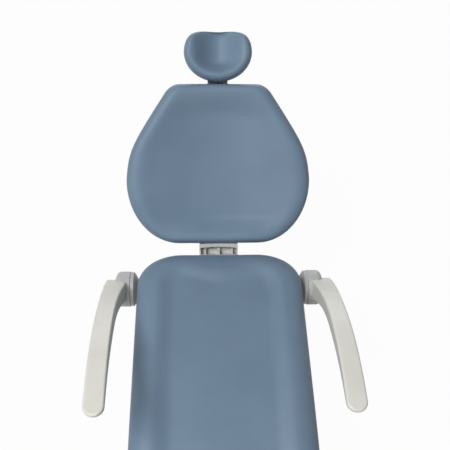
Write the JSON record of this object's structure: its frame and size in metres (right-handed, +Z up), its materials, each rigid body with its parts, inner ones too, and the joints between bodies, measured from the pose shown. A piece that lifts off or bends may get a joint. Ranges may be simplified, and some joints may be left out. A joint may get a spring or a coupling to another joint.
{
  "type": "orthodontic chair",
  "caption": "Reclining treatment chair with a long padded seat, wide padded back, sliding kidney headrest, flip-up armrests and a parallelogram lift on a floor plate.",
  "frame": {"origin": "on the floor under the middle of the base plate", "axes": "+Z up, the foot end points to -Y and the head end to +Y, +X is the sitter's left"},
  "size_m": [0.766, 1.8029, 0.8814],
  "materials": {
    "vinyl": "satin blue vinyl upholstery",
    "arm_plastic": "off-white moulding",
    "hub_grey": "pale grey moulding",
    "black_plastic": "fine grain",
    "cast_white": "off-white powder coat on a casting",
    "frame_paint": "dark grey powder coat",
    "bright_steel": "ground and polished",
    "bush_metal": "oiled bronze",
    "cover_plastic": "off-white moulding, fine grain",
    "plywood": "moulded birch plywood",
    "drive_tube": "clear anodised tube"
  },
  "bodies": {
    "base": {"base_plate": "frame_paint", "base_cover": "cover_plastic", "lift_pedestal": "frame_paint", "front_pivot_pins": "bright_steel", "lift_actuator_barrel": "drive_tube", "lift_rod_bush": "bush_metal", "lift_gearmotor": "black_plastic", "control_box": "black_plastic", "power_inlet": "black_plastic", "left_rocker_bracket": "frame_paint", "right_rocker_bracket": "frame_paint"},
    "lift_arm": {"lift_arm": "frame_paint", "lift_arm_bushes": "bush_metal", "lift_lever_pin": "bright_steel"},
    "parallel_links": {"left_link": "frame_paint", "right_link": "frame_paint", "link_bushes": "bush_metal"},
    "lift_rod": {"lift_rod": "bright_steel"},
    "left_foot_rocker": {"left_foot_rocker": "black_plastic"},
    "right_foot_rocker": {"right_foot_rocker": "black_plastic"},
    "seat": {"lift_carriage": "frame_paint", "carriage_pins": "bright_steel", "carriage_bolts": "bright_steel", "seat_frame": "frame_paint", "back_hinge_shaft": "bright_steel", "seat_board": "plywood", "seat_cushion": "vinyl", "left_seat_skirt": "cover_plastic", "right_seat_skirt": "cover_plastic", "leg_shell": "cover_plastic", "back_actuator_barrel": "drive_tube", "back_rod_bush": "bush_metal", "back_gearmotor": "black_plastic", "left_arm_boss": "black_plastic", "right_arm_boss": "black_plastic", "left_arm_axle": "bright_steel", "right_arm_axle": "bright_steel", "left_hub_collar": "hub_grey", "right_hub_collar": "hub_grey"},
    "back_rod": {"back_rod": "bright_steel"},
    "backrest": {"back_support": "cast_white", "back_hinge_bushes": "bush_metal", "back_lever_pin": "bright_steel", "back_board": "plywood", "back_cushion": "vinyl", "back_shell": "cover_plastic", "headrest_guide": "black_plastic", "guide_bezel": "black_plastic"},
    "headrest_bar": {"glide_bar": "bright_steel", "bar_knuckle": "frame_paint", "bar_knuckle_pin": "bright_steel"},
    "headrest_link": {"headrest_link": "drive_tube"},
    "headrest_lock_knob": {"headrest_lock_knob": "black_plastic"},
    "headrest": {"headrest_plate": "frame_paint", "headrest_plate_pin": "bright_steel", "headrest_cushion": "vinyl"},
    "left_arm": {"left_arm": "arm_plastic", "left_hub_drum": "hub_grey"},
    "right_arm": {"right_arm": "arm_plastic", "right_hub_drum": "hub_grey"}
  },
  "joints": [
    {"name": "lift", "type": "hinge", "parent": "base", "child": "lift_arm", "pos_m": [0, -0.3, 0.14], "axis": [1, 0, 0], "range_deg": [0, 42]},
    {"name": "link_swing", "type": "hinge", "parent": "base", "child": "parallel_links", "pos_m": [0, -0.3, 0.22], "axis": [1, 0, 0], "range_deg": [0, 42]},
    {"name": "seat_level", "type": "hinge", "parent": "lift_arm", "child": "seat", "pos_m": [0, 0.17883, 0.17348], "axis": [1, 0, 0], "range_deg": [-42, 0]},
    {"name": "lift_rod_slide", "type": "slide", "parent": "base", "child": "lift_rod", "axis": [0, 1, 0], "range_m": [0, 0.067]},
    {"name": "recline", "type": "hinge", "parent": "seat", "child": "backrest", "pos_m": [0, 0.298, 0.37], "axis": [1, 0, 0], "range_deg": [-35, 32]},
    {"name": "back_rod_slide", "type": "slide", "parent": "seat", "child": "back_rod", "axis": [0, 1, 0], "range_m": [-0.048, 0.044]},
    {"name": "headrest_slide", "type": "slide", "parent": "backrest", "child": "headrest_bar", "axis": [0, 0.766, 0.6428], "range_m": [0, 0.14]},
    {"name": "headrest_link_tilt", "type": "hinge", "parent": "headrest_bar", "child": "headrest_link", "pos_m": [0, 0.85556, 0.74703], "axis": [1, 0, 0], "range_deg": [-30, 0]},
    {"name": "headrest_tilt", "type": "hinge", "parent": "headrest_link", "child": "headrest", "pos_m": [0, 0.89692, 0.78174], "axis": [1, 0, 0], "range_deg": [-30, 5]},
    {"name": "lock_knob_turn", "type": "hinge", "parent": "headrest_link", "child": "headrest_lock_knob", "pos_m": [0, 0.87624, 0.76438], "axis": [1, 0, 0], "range_deg": [0, 90]},
    {"name": "left_arm_flip", "type": "hinge", "parent": "seat", "child": "left_arm", "pos_m": [0.325, 0.205, 0.352], "axis": [-1, 0, 0], "range_deg": [0, 80]},
    {"name": "right_arm_flip", "type": "hinge", "parent": "seat", "child": "right_arm", "pos_m": [-0.325, 0.205, 0.352], "axis": [-1, 0, 0], "range_deg": [0, 80]},
    {"name": "left_rocker_press", "type": "hinge", "parent": "base", "child": "left_foot_rocker", "pos_m": [0.105, 0.364, 0.028], "axis": [1, 0, 0], "range_deg": [-6, 6], "stiffness_Nm_per_rad": 12},
    {"name": "right_rocker_press", "type": "hinge", "parent": "base", "child": "right_foot_rocker", "pos_m": [-0.105, 0.364, 0.028], "axis": [1, 0, 0], "range_deg": [-6, 6], "stiffness_Nm_per_rad": 12}
  ],
  "couplings": [
    {"joint": "link_swing", "follows": "lift", "ratio": 1},
    {"joint": "seat_level", "follows": "lift", "ratio": -1},
    {"joint": "lift_rod_slide", "follows": "lift", "m_per_rad": 0.089954},
    {"joint": "back_rod_slide", "follows": "recline", "m_per_rad": 0.0764}
  ]
}
